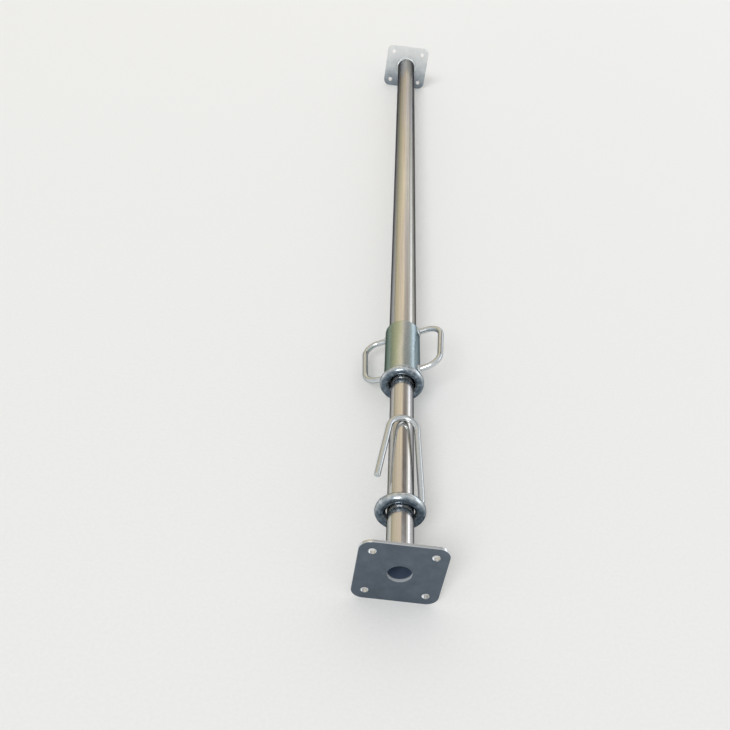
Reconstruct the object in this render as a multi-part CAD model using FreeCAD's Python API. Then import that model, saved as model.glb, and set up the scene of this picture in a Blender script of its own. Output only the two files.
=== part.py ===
import FreeCAD, Part
import math
import os

from FreeCAD import Vector

# An adjustable steel prop lying on its side, as it is stored and shipped.
# The prop's axis runs along Y: the head plate is at -Y and the base plate at +Y.
# Both square plates stand on one edge on the ground, which is Z = 0.
# Stations are millimetres along the prop, from the outer face of the head plate.

# Overall length as it lies, closed
closed_length = 2280.0

# Square end plates
plate_side = 150.0
plate_thickness = 6.0
plate_corner_radius = 22.0
plate_edge_round = 0.9
plate_bore = 42.0
bolt_hole_diameter = 14.0
bolt_pitch = 104.0
plate_weld_leg = 7.0

# Tubes
inner_tube_diameter = 48.3
inner_tube_wall = 2.6
outer_tube_diameter = 60.3
outer_tube_wall = 3.2
foot_clearance = 1.0

# Threaded end of the outer tube, a thicker tube welded on, whose bore guides the inner tube
thread_length = 138.0
guide_clearance = 0.5
thread_end_chamfer = 2.0
joint_weld_width = 6.0
joint_weld_depth = 2.4

# Pin holes through the inner tube
first_hole_station = 151.5
hole_pitch = 100.0
last_hole_margin = 160.0
hole_clearance = 0.75

# Adjusting collar, a long nut that covers the thread
collar_station = 491.5
collar_length = 158.0
collar_diameter = 76.0
collar_edge_round = 4.5
collar_mouth_chamfer = 2.0
cap_thickness = 10.0
cap_clearance = 0.7
sleeve_wall = 6.5
nut_thread_length = 40.0
thread_clearance = 0.3
thread_cover_gap = 1.5

# Handles, round bar bent to a D and welded to the collar
handle_bar = 12.0
handle_reach = 95.5
handle_taper = 5.5
handle_foot_inset = 16.5
handle_top_inset = 11.5
handle_grip_inset = 24.5
handle_top_bend = 30.0
handle_foot_bend = 32.0
handle_tilt = 29.0
handle_weld_leg = 4.0
handle_weld_lip = 0.4

# Forged rings on the inner tube: one bears on the collar, one hangs by the pin
ring_bore = 52.0
ring_bar = 20.0
seat_gap = 0.5
hang_gap = 0.3

# Hook pin, one round bar bent to a G
pin_bar = 12.0
pin_tip_overhang = 14.0
hook_length = 193.0
hook_right_foot = 39.0
hook_right_top = 24.5
hook_left_top = 24.0
hook_left_foot = 45.0
hook_end_station = 54.0
hook_foot_bend = 13.5
hook_top_bend = 26.0
pin_end_chamfer = 1.2

# Pull-out stop: a ring that turns freely between two rings welded to the inner tube
stop_inset = 145.0
stop_length = 30.0
stop_clearance = 0.35
retainer_length = 6.0

# Cutting tools run this far past what they cut, and points this near count as one
overshoot = 1.0
same_place = 0.01

# Places and sizes worked out from the values above
axis_height = plate_side / 2
inner_radius = inner_tube_diameter / 2
outer_radius = outer_tube_diameter / 2
collar_radius = collar_diameter / 2
collar_end = collar_station + collar_length
thread_station = collar_station + cap_thickness + thread_cover_gap
thread_end = thread_station + thread_length
guide_radius = inner_radius + guide_clearance
outer_bore_radius = outer_radius - outer_tube_wall
inner_bore_radius = inner_radius - inner_tube_wall
base_inner_station = closed_length - plate_thickness
tube_foot_station = base_inner_station - foot_clearance
ring_radius = (ring_bore + ring_bar) / 2
ring_drop = ring_bore / 2 - inner_radius - hang_gap
thrust_ring_station = collar_station - seat_gap - ring_bar / 2
loose_ring_station = first_hole_station - pin_bar / 2 - seat_gap - ring_bar / 2
stop_station = tube_foot_station - stop_inset
pull_out_travel = stop_station - retainer_length - 2 * seat_gap - thread_end
hole_count = 1 + int((stop_station - last_hole_margin - first_hole_station) / hole_pitch)
hook_tilt = math.asin((inner_radius + pin_bar / 2 + hang_gap) / hook_length)


along_axis = Vector(0, 1, 0)
across_axis = Vector(1, 0, 0)


def at(across, station, up=0.0):
    """A point from its distance across, its station and its height over the axis."""
    return Vector(across, station - closed_length / 2, axis_height + up)


def bar_solid(radius, start, end, across=0.0, up=0.0):
    """A round bar along the prop between two stations, on its axis or beside it."""
    return Part.makeCylinder(radius, end - start, at(across, start, up), along_axis)


def tube_solid(radius, bore_radius, start, end):
    bore = bar_solid(bore_radius, start - overshoot, end + overshoot)
    return bar_solid(radius, start, end).cut(bore)


def turned(profile):
    """A solid turned about the prop's axis from (radius, station) points."""
    points = [at(radius, station) for radius, station in profile]
    face = Part.Face(Part.makePolygon(points + points[:1]))
    return face.revolve(at(0, 0), along_axis, 360)


def rounded_path(points, radii):
    """A wire of straight runs through points, with a tangent arc at each inner point."""
    edges = []
    start = points[0]
    for index in range(1, len(points) - 1):
        corner = points[index]
        back = (points[index - 1] - corner).normalize()
        ahead = (points[index + 1] - corner).normalize()
        half_angle = back.getAngle(ahead) / 2
        tangent = radii[index - 1] / math.tan(half_angle)
        middle_way = (back + ahead).normalize()
        reach = radii[index - 1] / math.sin(half_angle) - radii[index - 1]
        arc_start = corner + back * tangent
        arc_end = corner + ahead * tangent
        edges.append(Part.LineSegment(start, arc_start).toShape())
        edges.append(Part.Arc(arc_start, corner + middle_way * reach, arc_end).toShape())
        start = arc_end
    edges.append(Part.LineSegment(start, points[-1]).toShape())
    return Part.Wire(edges)


def bent_bar(points, radii, diameter):
    """A round bar swept along a rounded path."""
    path = rounded_path(points, radii)
    direction = (points[1] - points[0]).normalize()
    section = Part.Wire(Part.makeCircle(diameter / 2, points[0], direction))
    return path.makePipeShell([section], True, False)


def end_plate(start):
    """A square plate with rounded corners, four bolt holes and a bore."""
    half = plate_side / 2
    plate = Part.makeBox(plate_side, plate_thickness, plate_side, at(-half, start, -half))
    corners = []
    for edge in plate.Edges:
        if edge.tangentAt(edge.FirstParameter).cross(along_axis).Length < same_place:
            corners.append(edge)
    plate = plate.makeFillet(plate_corner_radius, corners)
    rims = []
    for face in plate.Faces:
        if face.normalAt(0, 0).cross(along_axis).Length < same_place:
            rims.extend(face.OuterWire.Edges)
    plate = plate.makeFillet(plate_edge_round, rims)
    cut_start = start - overshoot
    cut_end = start + plate_thickness + overshoot
    tools = [bar_solid(plate_bore / 2, cut_start, cut_end)]
    for across in (-bolt_pitch / 2, bolt_pitch / 2):
        for up in (-bolt_pitch / 2, bolt_pitch / 2):
            tools.append(bar_solid(bolt_hole_diameter / 2, cut_start, cut_end, across, up))
    return plate.cut(tools)


def plate_weld(tube_radius, face_station, direction):
    """A fillet weld round a tube where it meets a plate."""
    return turned([
        (tube_radius, face_station),
        (tube_radius + plate_weld_leg, face_station),
        (tube_radius, face_station + direction * plate_weld_leg),
    ])


def inner_tube():
    tube = tube_solid(inner_radius, inner_bore_radius, plate_thickness, tube_foot_station)
    drill_radius = pin_bar / 2 + hole_clearance
    drills = []
    for number in range(hole_count):
        start = at(-inner_tube_diameter, first_hole_station + number * hole_pitch)
        drills.append(Part.makeCylinder(drill_radius, 2 * inner_tube_diameter, start, across_axis))
    return tube.cut(drills)


def outer_tube():
    tube = tube_solid(outer_radius, outer_bore_radius, thread_end, base_inner_station)
    return tube.cut(joint_weld())


def threaded_end():
    """The thread's blank: its ridges lie inside this outline."""
    blank = turned([
        (guide_radius + thread_end_chamfer, thread_station),
        (outer_radius - thread_end_chamfer, thread_station),
        (outer_radius, thread_station + thread_end_chamfer),
        (outer_radius, thread_end),
        (guide_radius, thread_end),
        (guide_radius, thread_station + thread_end_chamfer),
    ])
    return blank.cut(joint_weld())


def collar_nut():
    """A long nut: thread at the outer tube's end, plain sleeve, and a cap at the other."""
    sleeve_bore = collar_radius - sleeve_wall
    cap_bore = inner_radius + cap_clearance
    nut_bore = outer_radius + thread_clearance
    thread_start = collar_end - nut_thread_length
    body = turned([
        (cap_bore, collar_station),
        (collar_radius, collar_station),
        (collar_radius, collar_end),
        (nut_bore + collar_mouth_chamfer, collar_end),
        (nut_bore, collar_end - collar_mouth_chamfer),
        (nut_bore, thread_start),
        (sleeve_bore, thread_start - (sleeve_bore - nut_bore)),
        (sleeve_bore, collar_station + cap_thickness),
        (cap_bore, collar_station + cap_thickness),
    ])
    ends = []
    for edge in body.Edges:
        is_circle = isinstance(edge.Curve, Part.Circle)
        if is_circle and abs(edge.Curve.Radius - collar_radius) < same_place:
            ends.append(edge)
    return body.makeFillet(collar_edge_round, ends)


def handle_feet():
    """Stations of a handle's two feet on the collar."""
    return collar_station + handle_foot_inset, collar_end - handle_top_inset


def handle_pose(shape, side):
    """Turns a handle made flat at +X to its tilt, on one side of the collar."""
    turn = -handle_tilt if side > 0 else 180 - handle_tilt
    return shape.rotate(at(0, 0), along_axis, turn)


def flat_handle():
    """A handle's bent bar at +X, its two ends shaped to the collar."""
    foot, top = handle_feet()
    grip = handle_reach - handle_bar / 2
    inside = collar_radius - handle_bar / 2
    points = [
        at(inside, top),
        at(grip, top),
        at(grip - handle_taper, collar_station + handle_grip_inset),
        at(inside, foot),
    ]
    bar = bent_bar(points, [handle_top_bend, handle_foot_bend], handle_bar)
    return bar.cut(bar_solid(collar_radius, collar_station, collar_end))


def handle(side):
    return handle_pose(flat_handle(), side)


def handle_weld(side):
    """Weld beads round a handle's two feet, seated on the collar's curve."""
    foot_radius = handle_bar / 2 + handle_weld_leg
    top_radius = handle_bar / 2 + handle_weld_lip
    seat = math.sqrt(collar_radius ** 2 - foot_radius ** 2)
    height = collar_radius + handle_weld_leg - seat
    beads = []
    for station in handle_feet():
        start = at(seat, station)
        beads.append(Part.makeCone(foot_radius, top_radius, height, start, across_axis))
    welds = Part.Compound(beads).cut([collar_nut(), flat_handle()])
    return handle_pose(welds, side)


def ring(station):
    """A forged ring that hangs on the inner tube, so it lies below the axis."""
    return Part.makeTorus(ring_radius, ring_bar / 2, at(0, station, -ring_drop), along_axis)


def hook_point(across, along):
    """A point in the hook's own plane, which leans on the top of the tube."""
    station = first_hole_station + along * math.cos(hook_tilt)
    return at(across, station, along * math.sin(hook_tilt))


def hook_pin():
    points = [
        hook_point(-inner_radius - pin_tip_overhang, 0),
        hook_point(hook_right_foot, 0),
        hook_point(hook_right_top, hook_length),
        hook_point(-hook_left_top, hook_length),
        hook_point(-hook_left_foot, hook_end_station),
    ]
    bar = bent_bar(points, [hook_foot_bend, hook_top_bend, hook_top_bend], pin_bar)
    ends = []
    for edge in bar.Edges:
        if not isinstance(edge.Curve, Part.Circle):
            continue
        to_tip = edge.Curve.Center.distanceToPoint(points[0])
        to_free_end = edge.Curve.Center.distanceToPoint(points[-1])
        if min(to_tip, to_free_end) < same_place:
            ends.append(edge)
    return bar.makeChamfer(pin_end_chamfer, ends)


def joint_weld():
    """The ground-flush weld that fills a groove between threaded end and outer tube."""
    half = joint_weld_width / 2
    return turned([
        (outer_radius - joint_weld_depth, thread_end),
        (outer_radius, thread_end - half),
        (outer_radius, thread_end + half),
    ])


def pull_out_stop():
    """Ring that turns on the inner tube and meets the threaded end at full extension."""
    bore = inner_radius + stop_clearance
    outside = outer_bore_radius - stop_clearance
    return tube_solid(outside, bore, stop_station, stop_station + stop_length)


def stop_retainer(start):
    """A ring welded to the inner tube, which keeps the pull-out stop in its place."""
    outside = outer_bore_radius - 2 * stop_clearance
    return tube_solid(outside, inner_radius, start, start + retainer_length)


nodes = {
    "head_plate": end_plate(0),
    "head_weld": plate_weld(inner_radius, plate_thickness, 1),
    "inner_tube": inner_tube(),
    "pull_out_stop": pull_out_stop(),
    "head_side_retainer": stop_retainer(stop_station - seat_gap - retainer_length),
    "foot_side_retainer": stop_retainer(stop_station + stop_length + seat_gap),
    "loose_ring": ring(loose_ring_station),
    "hook_pin": hook_pin(),
    "thrust_ring": ring(thrust_ring_station),
    "collar_nut": collar_nut(),
    "right_handle": handle(1),
    "left_handle": handle(-1),
    "right_handle_welds": handle_weld(1),
    "left_handle_welds": handle_weld(-1),
    "threaded_end": threaded_end(),
    "joint_weld": joint_weld(),
    "outer_tube": outer_tube(),
    "base_weld": plate_weld(outer_radius, base_inner_station, -1),
    "base_plate": end_plate(base_inner_station),
}

os.makedirs("parts", exist_ok=True)
for name, shape in nodes.items():
    shape.exportStep("parts/" + name + ".step")
    print(name, len(shape.Solids), round(shape.Volume), shape.isValid())
print("pull-out travel", pull_out_travel, "holes", hole_count)
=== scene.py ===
import math

import bpy
from mathutils import Matrix, Vector


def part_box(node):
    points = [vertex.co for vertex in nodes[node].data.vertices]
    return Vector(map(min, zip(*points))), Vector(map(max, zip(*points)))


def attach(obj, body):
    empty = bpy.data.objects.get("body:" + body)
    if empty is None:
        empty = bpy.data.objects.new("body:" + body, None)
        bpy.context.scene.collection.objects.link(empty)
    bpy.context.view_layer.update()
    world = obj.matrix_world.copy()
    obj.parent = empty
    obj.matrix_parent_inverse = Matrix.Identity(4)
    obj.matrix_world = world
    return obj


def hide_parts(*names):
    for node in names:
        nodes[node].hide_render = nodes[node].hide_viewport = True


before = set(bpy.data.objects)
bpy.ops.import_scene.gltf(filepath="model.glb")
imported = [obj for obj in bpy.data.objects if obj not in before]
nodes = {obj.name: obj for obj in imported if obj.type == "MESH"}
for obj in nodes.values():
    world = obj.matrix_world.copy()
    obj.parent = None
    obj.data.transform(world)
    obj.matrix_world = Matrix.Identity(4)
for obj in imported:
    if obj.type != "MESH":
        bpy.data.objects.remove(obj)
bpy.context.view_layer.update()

MM = 0.001

# The prop lies along Y: its axis is at the middle height of the base plate
plate_low, plate_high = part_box("base_plate")
AXIS_HEIGHT = (plate_low.z + plate_high.z) / 2
PLATE_HALF = (plate_high.z - plate_low.z) / 2
PLATE_BORE_RADIUS = 21 * MM
PLATE_BORE_MARGIN = 1 * MM
tube_low, tube_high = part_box("outer_tube")
OUTER_RADIUS = (tube_high.x - tube_low.x) / 2
inner_low, inner_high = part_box("inner_tube")
INNER_RADIUS = (inner_high.x - inner_low.x) / 2
TUBE_BORE_MARGIN = 0.5 * MM
collar_low, collar_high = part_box("collar_nut")
COLLAR_RADIUS = (collar_high.x - collar_low.x) / 2

# Rolled thread on the threaded end
THREAD_PITCH = 8 * MM
THREAD_DEPTH = 2.2 * MM
THREAD_FADE = 9 * MM
THREAD_COLUMNS = 96
ROWS_PER_PITCH = 12
# The wave of the ridges is steepened, and cut off flat at their crests and roots
FLANK_STEEPNESS = 1.35
CREST_CUT = 0.2
GUIDE_CLEARANCE = 0.5 * MM
END_CHAMFER = 2 * MM
# The joint weld lies in a groove at the inner end of the thread
GROOVE_HALF_WIDTH = 3 * MM
GROOVE_DEPTH = 2.4 * MM

# Weld beads
PLATE_WELD_LEG = 7 * MM
HANDLE_BAR_RADIUS = 6 * MM
HANDLE_WELD_LEG = 4 * MM
RIPPLE_LENGTH = 3.2 * MM
RIPPLE_HEIGHT = 0.5 * MM
FOOT_RIPPLE_HEIGHT = 0.4 * MM
# How far a ripple bends back over the middle of its bead, in half ripples
RIPPLE_LAG = 0.6
COLUMNS_PER_RIPPLE = 8
PLATE_BEAD_ROWS = 9
FOOT_BEAD_ROWS = 7

# Nearly all of a noise pattern's values lie between these two
NOISE_LOW = 0.3
NOISE_HIGH = 0.7


def linear(hex_colour):
    """An sRGB hex colour as linear RGBA."""
    parts = [int(hex_colour[i:i + 2], 16) / 255 for i in (1, 3, 5)]
    levels = [p / 12.92 if p <= 0.04045 else ((p + 0.055) / 1.055) ** 2.4 for p in parts]
    return (*levels, 1.0)


def add(tree, kind, inputs=None, stops=None, **settings):
    """Adds a node with its settings and links.

    An input is a number, a colour or the socket that feeds it. The stops of a colour ramp are
    pairs of a position and a hex colour.
    """
    made = tree.nodes.new(kind)
    for name, value in settings.items():
        setattr(made, name, value)
    for name, value in (inputs or {}).items():
        socket = made.inputs[name]
        if isinstance(value, bpy.types.NodeSocket):
            tree.links.new(value, socket)
        else:
            socket.default_value = value
    if stops:
        elements = made.color_ramp.elements
        while len(elements) < len(stops):
            elements.new(0.5)
        for element, (position, hex_colour) in zip(elements, stops):
            element.position = position
            element.color = linear(hex_colour)
    return made


def new_material(name):
    """An empty node material with its tree, and the object's own coordinates in metres."""
    material = bpy.data.materials.new(name)
    material.use_nodes = True
    tree = material.node_tree
    tree.nodes.clear()
    place = add(tree, "ShaderNodeTexCoord").outputs["Object"]
    return material, tree, place


def finish_metal(tree, colour, roughness, relief, edge="#FFFFFF"):
    """Ends a metal: its shader, and what the eye sees where it turns away."""
    shader = add(tree, "ShaderNodeBsdfPrincipled", {
        "Base Color": colour, "Roughness": roughness, "Normal": relief.outputs["Normal"],
        "Metallic": 1.0, "Specular Tint": linear(edge)})
    add(tree, "ShaderNodeOutputMaterial", {"Surface": shader.outputs["BSDF"]})


def drawn_out(across, along):
    """The scale of a pattern whose unit is across mm round the prop, along mm down it."""
    return (1 / (across * MM), 1 / (along * MM), 1 / (across * MM))


def facing_along(tree):
    """How squarely a surface faces along the prop: 1 towards +Y and -1 towards -Y."""
    facing = add(tree, "ShaderNodeTexCoord").outputs["Normal"]
    return add(tree, "ShaderNodeSeparateXYZ", {"Vector": facing}).outputs["Y"]


def within(tree, place, radius):
    """1 nearer to the prop's axis than a radius, 0 outside it."""
    parts = add(tree, "ShaderNodeSeparateXYZ", {"Vector": place}).outputs
    height = add(tree, "ShaderNodeMath", {
        0: parts["Z"], 1: AXIS_HEIGHT}, operation="SUBTRACT").outputs["Value"]
    flat = add(tree, "ShaderNodeCombineXYZ", {"X": parts["X"], "Y": height}).outputs["Vector"]
    distance = add(tree, "ShaderNodeVectorMath", {
        0: flat}, operation="LENGTH").outputs["Value"]
    return add(tree, "ShaderNodeMath", {
        0: distance, 1: radius}, operation="LESS_THAN").outputs["Value"]


def drawn_tube(name, bore_radius):
    """Welded steel tube, drawn and zinc plated: bright, with fine lines along it.

    The zinc is thin and grey inside, so the bore is dull and bluish.
    """
    material, tree, place = new_material(name)
    # Real draw lines are tenths of a millimetre apart; these are coarser, so that they show
    line_place = add(tree, "ShaderNodeMapping", {
        "Vector": place, "Scale": drawn_out(1.6, 260)}).outputs["Vector"]
    lines = add(tree, "ShaderNodeTexNoise", {
        "Vector": line_place, "Scale": 1.0, "Detail": 4.0, "Roughness": 0.6}).outputs["Fac"]
    band_place = add(tree, "ShaderNodeMapping", {
        "Vector": place, "Scale": drawn_out(26, 900)}).outputs["Vector"]
    bands = add(tree, "ShaderNodeTexNoise", {
        "Vector": band_place, "Scale": 1.0, "Detail": 2.0, "Roughness": 0.5}).outputs["Fac"]
    stain_place = add(tree, "ShaderNodeMapping", {
        "Vector": place, "Scale": drawn_out(35, 60)}).outputs["Vector"]
    stains = add(tree, "ShaderNodeTexNoise", {
        "Vector": stain_place, "Scale": 1.0, "Detail": 5.0, "Roughness": 0.65}).outputs["Fac"]
    tint = add(tree, "ShaderNodeValToRGB", {"Fac": bands}, [
        (0.30, "#DBDFDC"), (0.46, "#E2E0D9"), (0.56, "#DCDADB"), (0.72, "#DADEE1"),
    ]).outputs["Color"]
    streak = add(tree, "ShaderNodeValToRGB", {"Fac": lines}, [
        (0.3, "#D4D4D4"), (0.7, "#FFFFFF")]).outputs["Color"]
    outside = add(tree, "ShaderNodeMix", {"Factor": 0.6, "A": tint, "B": streak},
                  data_type="RGBA", blend_type="MULTIPLY").outputs["Result"]
    polish = add(tree, "ShaderNodeMapRange", {
        "Value": stains, "From Min": NOISE_LOW, "From Max": NOISE_HIGH,
        "To Min": 0.14, "To Max": 0.24}).outputs["Result"]
    in_bore = within(tree, place, bore_radius)
    colour = add(tree, "ShaderNodeMix", {
        "Factor": in_bore, "A": outside, "B": linear("#7E8FA8")},
        data_type="RGBA").outputs["Result"]
    rough = add(tree, "ShaderNodeMapRange", {
        "Value": in_bore, "To Min": polish, "To Max": 0.7}).outputs["Result"]
    relief = add(tree, "ShaderNodeBump", {
        "Height": lines, "Strength": 0.1, "Distance": 0.03 * MM})
    finish_metal(tree, colour, rough, relief, edge="#3E4144")
    return material


def rolled_plate(name, outer_side):
    """Hot rolled plate, punched, zinc plated and blue passivated: satin, softly mottled.

    Its outer face is slate grey. The face towards the tube is dull, with a painted reflection
    that makes it pale at the top and painted shade that makes it greyer below. The sheared rim
    and the punched holes are burnished, and the bore's wall is rough. The outer side is 1 for
    a plate that faces +Y, and -1 for -Y.
    """
    material, tree, place = new_material(name)
    mottle = add(tree, "ShaderNodeTexNoise", {
        "Vector": place, "Scale": 1 / (22 * MM), "Detail": 6.0,
        "Roughness": 0.6}).outputs["Fac"]
    # Real mill grain is a few tenths of a millimetre; this is coarser, so that it shows
    grain = add(tree, "ShaderNodeTexNoise", {
        "Vector": place, "Scale": 1 / (1.4 * MM), "Detail": 3.0,
        "Roughness": 0.6}).outputs["Fac"]
    slate = add(tree, "ShaderNodeValToRGB", {"Fac": mottle}, [
        (0.28, "#5A646E"), (0.5, "#616B76"), (0.72, "#69737E")]).outputs["Color"]
    height = add(tree, "ShaderNodeSeparateXYZ", {"Vector": place}).outputs["Z"]
    # Painted shade: the face towards the tube grows greyer towards the bottom
    painted_shade_by_height = add(tree, "ShaderNodeMapRange", {
        "Value": height, "From Min": AXIS_HEIGHT - PLATE_HALF,
        "From Max": AXIS_HEIGHT + PLATE_HALF, "To Max": 0.8}).outputs["Result"]
    # The mottle carries the edge of the painted shade up and down
    mottle_and_painted_shade = add(tree, "ShaderNodeMath", {
        0: mottle, 1: 0.4, 2: painted_shade_by_height}, operation="MULTIPLY_ADD").outputs["Value"]
    # Painted reflection and shade on the face towards the tube: pale at the top, greyer below
    pale = add(tree, "ShaderNodeValToRGB", {"Fac": mottle_and_painted_shade}, [
        (0.26, "#8B949D"), (0.48, "#BFC6CB"), (0.68, "#E2E6E8"), (0.95, "#F1F3F4"),
    ]).outputs["Color"]
    outward = add(tree, "ShaderNodeMath", {
        0: facing_along(tree), 1: outer_side}, operation="MULTIPLY").outputs["Value"]
    # The rim gives way to a face where the surface turns square to the axis
    on_outer = add(tree, "ShaderNodeMapRange", {
        "Value": outward, "From Min": 0.6, "From Max": 0.97}).outputs["Result"]
    on_inner = add(tree, "ShaderNodeMapRange", {
        "Value": outward, "From Min": -0.6, "From Max": -0.97}).outputs["Result"]
    rim_and_inside = add(tree, "ShaderNodeMix", {
        "Factor": on_inner, "A": linear("#D6DADD"), "B": pale},
        data_type="RGBA").outputs["Result"]
    colour = add(tree, "ShaderNodeMix", {
        "Factor": on_outer, "A": rim_and_inside, "B": slate},
        data_type="RGBA").outputs["Result"]
    in_bore = within(tree, place, PLATE_BORE_RADIUS + PLATE_BORE_MARGIN)
    rim_rough = add(tree, "ShaderNodeMapRange", {
        "Value": in_bore, "To Min": 0.24, "To Max": 0.95}).outputs["Result"]
    inside_rough = add(tree, "ShaderNodeMapRange", {
        "Value": on_inner, "To Min": rim_rough, "To Max": 0.55}).outputs["Result"]
    rough = add(tree, "ShaderNodeMapRange", {
        "Value": on_outer, "To Min": inside_rough, "To Max": 0.4}).outputs["Result"]
    worn_edge = add(tree, "ShaderNodeBevel", {
        "Radius": 0.8 * MM}, samples=8).outputs["Normal"]
    relief = add(tree, "ShaderNodeBump", {
        "Height": grain, "Strength": 0.3, "Distance": 0.06 * MM, "Normal": worn_edge})
    finish_metal(tree, colour, rough, relief)
    return material


def cast_collar():
    """Cast iron, zinc plated and passivated: fine grain; painted reflection green to straw to
    blue.
    """
    material, tree, place = new_material("passivated_cast_iron")
    shade_place = add(tree, "ShaderNodeMapping", {
        "Vector": place, "Scale": drawn_out(40, 110)}).outputs["Vector"]
    shade = add(tree, "ShaderNodeTexNoise", {
        "Vector": shade_place, "Scale": 1.0, "Detail": 3.0, "Roughness": 0.5}).outputs["Fac"]
    # Real sand grain is under a millimetre; this is coarser, so that it shows
    pits = add(tree, "ShaderNodeTexNoise", {
        "Vector": place, "Scale": 1 / (2.2 * MM), "Detail": 4.0,
        "Roughness": 0.7}).outputs["Fac"]
    # Painted reflection: green to straw on the left side of the collar, blue on the right
    across = add(tree, "ShaderNodeSeparateXYZ", {"Vector": place}).outputs["X"]
    side = add(tree, "ShaderNodeMapRange", {
        "Value": across, "From Min": -COLLAR_RADIUS,
        "From Max": COLLAR_RADIUS}).outputs["Result"]
    # A cloudy pattern carries the edges of the painted reflection's colours to and fro
    cloud_and_painted_reflection = add(tree, "ShaderNodeMath", {
        0: shade, 1: 0.5, 2: side}, operation="MULTIPLY_ADD").outputs["Value"]
    colour = add(tree, "ShaderNodeValToRGB", {"Fac": cloud_and_painted_reflection}, [
        (0.28, "#A4B3AA"), (0.46, "#B6C1B2"), (0.65, "#D2D7D7"), (0.76, "#C0C8C9"),
        (0.9, "#BCCACC"), (1.0, "#B5C4CB")]).outputs["Color"]
    rough = add(tree, "ShaderNodeMapRange", {
        "Value": pits, "From Min": NOISE_LOW, "From Max": NOISE_HIGH,
        "To Min": 0.2, "To Max": 0.36}).outputs["Result"]
    relief = add(tree, "ShaderNodeBump", {
        "Height": pits, "Strength": 0.4, "Distance": 0.2 * MM})
    finish_metal(tree, colour, rough, relief, edge="#4A5656")
    return material


def forged_steel():
    """Drop forged steel, zinc plated: shallow hammer scale, dark on its faces.

    The rim is bright with a painted highlight, and the faces are dark with painted shade.
    """
    material, tree, place = new_material("zinc_plated_forging")
    dents = add(tree, "ShaderNodeTexNoise", {
        "Vector": place, "Scale": 1 / (9 * MM), "Detail": 3.0,
        "Roughness": 0.55}).outputs["Fac"]
    # Painted highlight on the rim and painted shade on the faces, both mottled by the hammer
    # scale
    rim = add(tree, "ShaderNodeValToRGB", {"Fac": dents}, [
        (0.3, "#A3AFB8"), (0.52, "#C6CED3"), (0.7, "#E1E5E7")]).outputs["Color"]
    face = add(tree, "ShaderNodeValToRGB", {"Fac": dents}, [
        (0.3, "#4F5B66"), (0.52, "#6B7883"), (0.7, "#8D99A3")]).outputs["Color"]
    # Where the ring turns square to the axis, the rim's painted highlight gives way to the
    # faces' painted shade
    steepness = add(tree, "ShaderNodeMath", {
        0: facing_along(tree)}, operation="ABSOLUTE").outputs["Value"]
    on_shaded_face = add(tree, "ShaderNodeMapRange", {
        "Value": steepness, "From Min": 0.45, "From Max": 0.85}).outputs["Result"]
    colour = add(tree, "ShaderNodeMix", {
        "Factor": on_shaded_face, "A": rim, "B": face}, data_type="RGBA").outputs["Result"]
    rough = add(tree, "ShaderNodeMapRange", {
        "Value": dents, "From Min": NOISE_LOW, "From Max": NOISE_HIGH,
        "To Min": 0.18, "To Max": 0.3}).outputs["Result"]
    relief = add(tree, "ShaderNodeBump", {
        "Height": dents, "Strength": 0.4, "Distance": 0.5 * MM})
    finish_metal(tree, colour, rough, relief, edge="#3C434A")
    return material


def drawn_bar():
    """Cold drawn round bar, bright zinc plated: near mirror, faintly scratched."""
    material, tree, place = new_material("zinc_plated_bar")
    # Real scratches are as fine as hair; these are coarser, so that they show
    scratches = add(tree, "ShaderNodeTexNoise", {
        "Vector": place, "Scale": 1 / (2.5 * MM), "Detail": 5.0,
        "Roughness": 0.7}).outputs["Fac"]
    colour = add(tree, "ShaderNodeValToRGB", {"Fac": scratches}, [
        (0.3, "#C0C7CB"), (0.55, "#D3D8DB"), (0.7, "#DFE2E3")]).outputs["Color"]
    rough = add(tree, "ShaderNodeMapRange", {
        "Value": scratches, "From Min": NOISE_LOW, "From Max": NOISE_HIGH,
        "To Min": 0.14, "To Max": 0.26}).outputs["Result"]
    relief = add(tree, "ShaderNodeBump", {
        "Height": scratches, "Strength": 0.25, "Distance": 0.08 * MM})
    finish_metal(tree, colour, rough, relief, edge="#3E4346")
    return material


def weld_metal():
    """Arc weld bead, zinc plated over: bright and satin, with burnt specks."""
    material, tree, place = new_material("plated_weld_bead")
    specks = add(tree, "ShaderNodeTexNoise", {
        "Vector": place, "Scale": 1 / (3 * MM), "Detail": 4.0,
        "Roughness": 0.7}).outputs["Fac"]
    colour = add(tree, "ShaderNodeValToRGB", {"Fac": specks}, [
        (0.28, "#9EA4A7"), (0.45, "#C9CED0"), (0.7, "#E2E4E4")]).outputs["Color"]
    relief = add(tree, "ShaderNodeBump", {
        "Height": specks, "Strength": 0.4, "Distance": 0.2 * MM})
    finish_metal(tree, colour, roughness=0.34, relief=relief)
    return material


def rolled_thread():
    """Rolled thread, zinc plated and oiled: bright flanks with darker, oily stretches."""
    material, tree, place = new_material("oiled_rolled_thread")
    oil_place = add(tree, "ShaderNodeMapping", {
        "Vector": place, "Scale": drawn_out(12, 30)}).outputs["Vector"]
    oil = add(tree, "ShaderNodeTexNoise", {
        "Vector": oil_place, "Scale": 1.0, "Detail": 4.0, "Roughness": 0.6}).outputs["Fac"]
    colour = add(tree, "ShaderNodeValToRGB", {"Fac": oil}, [
        (0.3, "#8E8C84"), (0.5, "#B7B6B0"), (0.7, "#C9CAC7")]).outputs["Color"]
    rough = add(tree, "ShaderNodeMapRange", {
        "Value": oil, "From Min": NOISE_LOW, "From Max": NOISE_HIGH,
        "To Min": 0.2, "To Max": 0.4}).outputs["Result"]
    relief = add(tree, "ShaderNodeBump", {
        "Height": oil, "Strength": 0.2, "Distance": 0.1 * MM})
    finish_metal(tree, colour, rough, relief)
    return material


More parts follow.
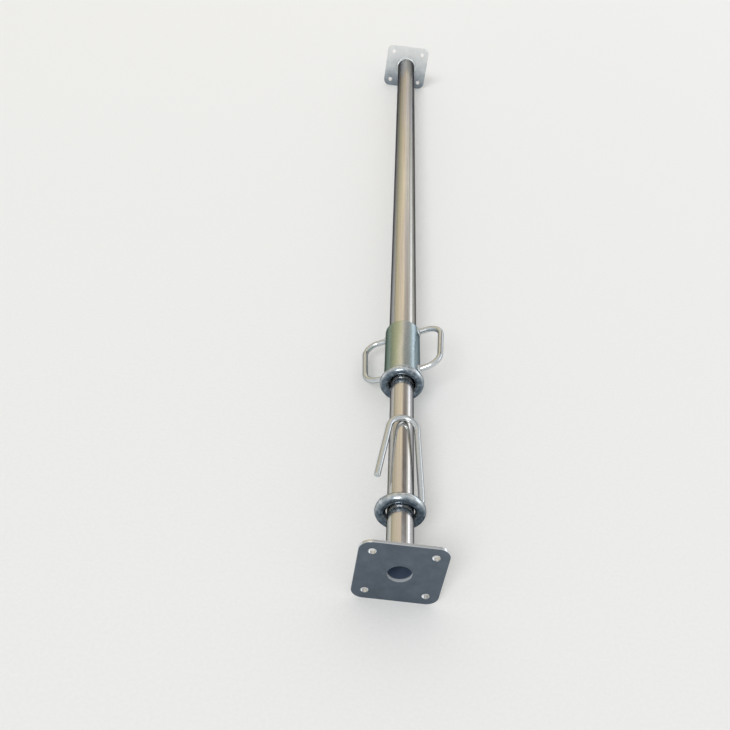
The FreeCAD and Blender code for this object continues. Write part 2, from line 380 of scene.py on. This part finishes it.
def turned_steel():
    """Turned steel ring, bare: fine turning marks round it."""
    material, tree, place = new_material("turned_bare_steel")
    # Real turning marks are tenths of a millimetre apart; these are coarser, so that they show
    mark_place = add(tree, "ShaderNodeMapping", {
        "Vector": place, "Scale": drawn_out(20, 0.8)}).outputs["Vector"]
    marks = add(tree, "ShaderNodeTexNoise", {
        "Vector": mark_place, "Scale": 1.0, "Detail": 2.0, "Roughness": 0.5}).outputs["Fac"]
    colour = add(tree, "ShaderNodeValToRGB", {"Fac": marks}, [
        (0.3, "#8F9091"), (0.7, "#ACADAE")]).outputs["Color"]
    relief = add(tree, "ShaderNodeBump", {
        "Height": marks, "Strength": 0.3, "Distance": 0.05 * MM})
    finish_metal(tree, colour, roughness=0.32, relief=relief)
    return material


def floor_paint():
    """Matt painted board: even and pale, with a trace of roller texture."""
    material, tree, place = new_material("matt_painted_board")
    # Real roller texture is 1 to 2 mm; this is coarser, so that it shows
    stipple = add(tree, "ShaderNodeTexNoise", {
        "Vector": place, "Scale": 1 / (6 * MM), "Detail": 2.0,
        "Roughness": 0.5}).outputs["Fac"]
    colour = add(tree, "ShaderNodeValToRGB", {"Fac": stipple}, [
        (0.3, "#EDEDEC"), (0.7, "#F0F0EF")]).outputs["Color"]
    shader = add(tree, "ShaderNodeBsdfPrincipled", {"Base Color": colour, "Roughness": 0.8})
    add(tree, "ShaderNodeOutputMaterial", {"Surface": shader.outputs["BSDF"]})
    return material


def mesh_piece(name, points, faces, material):
    """A smooth mesh object from points and faces."""
    mesh = bpy.data.meshes.new(name)
    mesh.from_pydata(points, [], faces)
    mesh.validate()
    mesh.shade_smooth()
    mesh.materials.append(material)
    piece = bpy.data.objects.new(name, mesh)
    bpy.context.scene.collection.objects.link(piece)
    return piece


def grid_faces(rows, columns, start=0):
    """Quads between rows of points. Each row is a ring, and the last row joins the first."""
    faces = []
    for row in range(rows):
        below = start + row * columns
        above = start + (row + 1) % rows * columns
        for column in range(columns):
            beside = (column + 1) % columns
            faces.append((below + column, below + beside, above + beside, above + column))
    return faces


def round_axis(radius, y, angle):
    """A point at an angle round the prop's axis."""
    return (radius * math.cos(angle), y, AXIS_HEIGHT + radius * math.sin(angle))


def threaded_tube(material):
    """The threaded end with its helical ridges, open at both ends."""
    low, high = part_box("threaded_end")
    bore = INNER_RADIUS + GUIDE_CLEARANCE
    rows = int((high.y - low.y) / (THREAD_PITCH / ROWS_PER_PITCH))
    points = []
    for row in range(rows + 1):
        y = low.y + (high.y - low.y) * row / rows
        from_start = y - low.y
        from_end = high.y - y
        fade = min(1, max(0, (from_end - GROOVE_HALF_WIDTH) / THREAD_FADE))
        widest = min(OUTER_RADIUS, OUTER_RADIUS - END_CHAMFER + from_start)
        if from_end < GROOVE_HALF_WIDTH:
            widest = OUTER_RADIUS - GROOVE_DEPTH * (1 - from_end / GROOVE_HALF_WIDTH)
        for column in range(THREAD_COLUMNS):
            angle = 2 * math.pi * column / THREAD_COLUMNS
            turn = from_start / THREAD_PITCH + column / THREAD_COLUMNS
            wave = 0.5 - 0.5 * math.cos(2 * math.pi * turn)
            groove = min(1, max(0, FLANK_STEEPNESS * wave - CREST_CUT))
            radius = min(widest, OUTER_RADIUS - THREAD_DEPTH * groove * fade)
            points.append(round_axis(radius, y, angle))
    # The bore: its far edge, and the chamfer at its near end
    bore_rings = ((high.y, bore), (low.y + END_CHAMFER, bore), (low.y, bore + END_CHAMFER))
    for y, radius in bore_rings:
        for column in range(THREAD_COLUMNS):
            angle = 2 * math.pi * column / THREAD_COLUMNS
            points.append(round_axis(radius, y, angle))
    all_rows = rows + 1 + len(bore_rings)
    return mesh_piece("rolled_thread", points, grid_faces(all_rows, THREAD_COLUMNS), material)


def bead_ripple(height, ripples, angle, turn):
    """How far a bead stands out at an angle round it: nothing at its toes, most between."""
    swell = math.sin(2 * turn)
    return height * swell * math.cos(angle * ripples + RIPPLE_LAG * math.pi * swell)


def plate_bead(name, radius, plate_y, direction, material):
    """A rippled fillet weld round a tube where it meets a plate."""
    ripples = round(2 * math.pi * radius / RIPPLE_LENGTH)
    columns = ripples * COLUMNS_PER_RIPPLE
    angles = [2 * math.pi * column / columns for column in range(columns)]
    points = []
    for row in range(PLATE_BEAD_ROWS):
        turn = math.pi / 2 * row / (PLATE_BEAD_ROWS - 1)
        for angle in angles:
            ripple = bead_ripple(RIPPLE_HEIGHT, ripples, angle, turn)
            reach = PLATE_WELD_LEG - RIPPLE_HEIGHT + ripple
            y = plate_y + direction * reach * math.cos(turn)
            points.append(round_axis(radius + reach * math.sin(turn), y, angle))
    points += [round_axis(radius, plate_y, angle) for angle in angles]
    return mesh_piece(name, points, grid_faces(PLATE_BEAD_ROWS + 1, columns), material)


def foot_bead(centre_y, tilt, points, faces):
    """A rippled bead round one handle foot, on the collar's curve."""
    start = len(points)
    ripples = round(2 * math.pi * (HANDLE_BAR_RADIUS + HANDLE_WELD_LEG) / RIPPLE_LENGTH)
    columns = ripples * COLUMNS_PER_RIPPLE
    along = Vector((math.cos(tilt), 0, math.sin(tilt)))
    side = Vector((-math.sin(tilt), 0, math.cos(tilt)))
    for row in range(FOOT_BEAD_ROWS + 1):
        turn = math.pi / 2 * min(1, row / (FOOT_BEAD_ROWS - 1))
        for column in range(columns):
            angle = 2 * math.pi * column / columns
            leg = HANDLE_WELD_LEG + bead_ripple(FOOT_RIPPLE_HEIGHT, ripples, angle, turn)
            distance = HANDLE_BAR_RADIUS + leg * math.sin(turn)
            height = leg * math.cos(turn)
            # The last row closes the bead where the bar meets the collar
            if row == FOOT_BEAD_ROWS:
                distance = HANDLE_BAR_RADIUS
                height = 0
            across = distance * math.sin(angle)
            seat = math.sqrt(COLLAR_RADIUS ** 2 - across ** 2)
            point = along * (seat + height) + side * across
            y = centre_y + distance * math.cos(angle)
            points.append((point.x, y, AXIS_HEIGHT + point.z))
    faces += grid_faces(FOOT_BEAD_ROWS + 1, columns, start)


def handle_beads(name, handle, welds, material):
    """Both weld beads of one handle."""
    low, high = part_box(handle)
    weld_low, weld_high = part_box(welds)
    # The grip is at the outermost corner of the handle's box, a bar's radius inside it
    if abs(low.x) > abs(high.x):
        grip_x, grip_z = low.x + HANDLE_BAR_RADIUS, low.z + HANDLE_BAR_RADIUS
    else:
        grip_x, grip_z = high.x - HANDLE_BAR_RADIUS, high.z - HANDLE_BAR_RADIUS
    tilt = math.atan2(grip_z - AXIS_HEIGHT, grip_x)
    reach = HANDLE_BAR_RADIUS + HANDLE_WELD_LEG
    points, faces = [], []
    for y in (weld_low.y + reach, weld_high.y - reach):
        foot_bead(y, tilt, points, faces)
    return mesh_piece(name, points, faces, material)


ring_finish = forged_steel()
bar_finish = drawn_bar()
weld_finish = weld_metal()
stop_finish = turned_steel()
finishes = {
    "outer_tube": drawn_tube("zinc_plated_outer_tube", OUTER_RADIUS - TUBE_BORE_MARGIN),
    "inner_tube": drawn_tube("zinc_plated_inner_tube", INNER_RADIUS - TUBE_BORE_MARGIN),
    "head_plate": rolled_plate("passivated_head_plate", -1.0),
    "base_plate": rolled_plate("passivated_base_plate", 1.0),
    "collar_nut": cast_collar(),
    "thrust_ring": ring_finish,
    "loose_ring": ring_finish,
    "hook_pin": bar_finish,
    "right_handle": bar_finish,
    "left_handle": bar_finish,
    "joint_weld": weld_finish,
    "pull_out_stop": stop_finish,
    "head_side_retainer": stop_finish,
    "foot_side_retainer": stop_finish,
}
for name, finish in finishes.items():
    nodes[name].data.materials.clear()
    nodes[name].data.materials.append(finish)

thread = threaded_tube(rolled_thread())
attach(thread, "outer")
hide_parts("threaded_end")

_, head_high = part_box("head_plate")
head_bead = plate_bead("head_plate_bead", INNER_RADIUS, head_high.y, 1, weld_finish)
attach(head_bead, "inner")
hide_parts("head_weld")

base_bead = plate_bead("base_plate_bead", OUTER_RADIUS, plate_low.y, -1, weld_finish)
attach(base_bead, "outer")
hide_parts("base_weld")

for side in ("right", "left"):
    handle = side + "_handle"
    beads = handle_beads(handle + "_beads", handle, handle + "_welds", weld_finish)
    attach(beads, "collar")
    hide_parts(side + "_handle_welds")

# Floor, larger than any view of the prop takes in
FLOOR_HALF = 30
QUAD = [(0, 1, 2, 3)]
floor = mesh_piece("studio_floor", [
    (-FLOOR_HALF, -FLOOR_HALF, 0), (FLOOR_HALF, -FLOOR_HALF, 0),
    (FLOOR_HALF, FLOOR_HALF, 0), (-FLOOR_HALF, FLOOR_HALF, 0)], QUAD, floor_paint())


def studio_card(name, low_edge, high_edge, reach, graded_by, stops, glow):
    """A long coloured card beside or over the prop, which only its polish shows.

    Its edges are (x, z) and its reach is in y, in metres. Its glow goes from the near end to
    the far one. Its colours lie at places in metres on the axis that it is graded by.
    """
    material, tree, place = new_material(name)
    parts = add(tree, "ShaderNodeSeparateXYZ", {"Vector": place}).outputs
    first, last = stops[0][0], stops[-1][0]
    shade = add(tree, "ShaderNodeMapRange", {
        "Value": parts[graded_by], "From Min": first, "From Max": last}).outputs["Result"]
    colour = add(tree, "ShaderNodeValToRGB", {"Fac": shade}, [
        ((metres - first) / (last - first), hex_colour) for metres, hex_colour in stops
    ]).outputs["Color"]
    strength = add(tree, "ShaderNodeMapRange", {
        "Value": parts["Y"], "From Min": reach[0], "From Max": reach[1],
        "To Min": glow[0], "To Max": glow[1]}).outputs["Result"]
    light = add(tree, "ShaderNodeEmission", {"Color": colour, "Strength": strength})
    add(tree, "ShaderNodeOutputMaterial", {"Surface": light.outputs["Emission"]})
    (low_x, low_z), (high_x, high_z), (near_y, far_y) = low_edge, high_edge, reach
    card = mesh_piece(name, [
        (low_x, near_y, low_z), (low_x, far_y, low_z),
        (high_x, far_y, high_z), (high_x, near_y, high_z)], QUAD, material)
    card.visible_camera = False
    card.visible_diffuse = False
    card.visible_shadow = False


# Cards that the bright metal mirrors: beige on the left, grey overhead, white on the right
studio_card(
    "beige_card", low_edge=(-3.4, 0.0), high_edge=(-0.2, 3.2), reach=(0.4, 16),
    graded_by="Z", stops=[
        (0.0, "#8F8C78"), (0.8, "#D0C7AC"), (2.2, "#EBDDC3"), (3.2, "#F0E1C7")],
    glow=(0.95, 2.25))
studio_card(
    "grey_card", low_edge=(-0.2, 3.2), high_edge=(2.4, 2.6), reach=(1.32, 16),
    graded_by="Y", stops=[
        (1.32, "#5A5248"), (1.9, "#6E665E"), (2.6, "#97908B"), (4.4, "#C2BCB8"),
        (6.5, "#EFE9E3")],
    glow=(1.0, 2.15))
studio_card(
    "white_card", low_edge=(3.0, 0.7), high_edge=(2.9, 1.8), reach=(-1.5, 12.5),
    graded_by="Z", stops=[(0.7, "#F4F8FF"), (1.8, "#FFFFFF")], glow=(1.9, 1.9))

# Broad main light from the left, behind the camera
KEY_DIRECTION = Vector((-0.34, -0.72, 0.78))
key = bpy.data.lights.new("key_light", "SUN")
key.energy = 1.1
key.angle = math.radians(22)
key_light = bpy.data.objects.new("key_light", key)
key_light.rotation_euler = KEY_DIRECTION.to_track_quat("Z", "Y").to_euler()
bpy.context.scene.collection.objects.link(key_light)

world = bpy.data.worlds.new("studio_air")
bpy.context.scene.world = world
world.use_nodes = True
world.node_tree.nodes.clear()
air = add(world.node_tree, "ShaderNodeBackground", {
    "Color": linear("#F4F4F3"), "Strength": 0.8})
add(world.node_tree, "ShaderNodeOutputWorld", {"Surface": air.outputs["Background"]})

# Camera, where the photograph was taken from; the picture is square
PICTURE_SIDE = 730
FOCAL_PIXELS = 845.2
CAMERA_PLACE = Vector((-0.1621, -1.9906, 1.2128))
CAMERA_PITCH = math.radians(39.569)
CAMERA_YAW = math.radians(3.438)
CAMERA_ROLL = math.radians(-9.17)
camera_data = bpy.data.cameras.new("camera")
camera_data.lens = FOCAL_PIXELS / PICTURE_SIDE * camera_data.sensor_width
camera = bpy.data.objects.new("camera", camera_data)
bpy.context.scene.collection.objects.link(camera)
bpy.context.scene.camera = camera
ahead = Vector((math.sin(CAMERA_YAW) * math.cos(CAMERA_PITCH),
                math.cos(CAMERA_YAW) * math.cos(CAMERA_PITCH), -math.sin(CAMERA_PITCH)))
level_right = Vector((math.cos(CAMERA_YAW), -math.sin(CAMERA_YAW), 0))
level_up = level_right.cross(ahead)
right = level_right * math.cos(CAMERA_ROLL) - level_up * math.sin(CAMERA_ROLL)
up = level_right * math.sin(CAMERA_ROLL) + level_up * math.cos(CAMERA_ROLL)
turned = Matrix((right, up, -ahead)).transposed().to_4x4()
camera.matrix_world = Matrix.Translation(CAMERA_PLACE) @ turned

bpy.context.scene.view_settings.view_transform = "Standard"
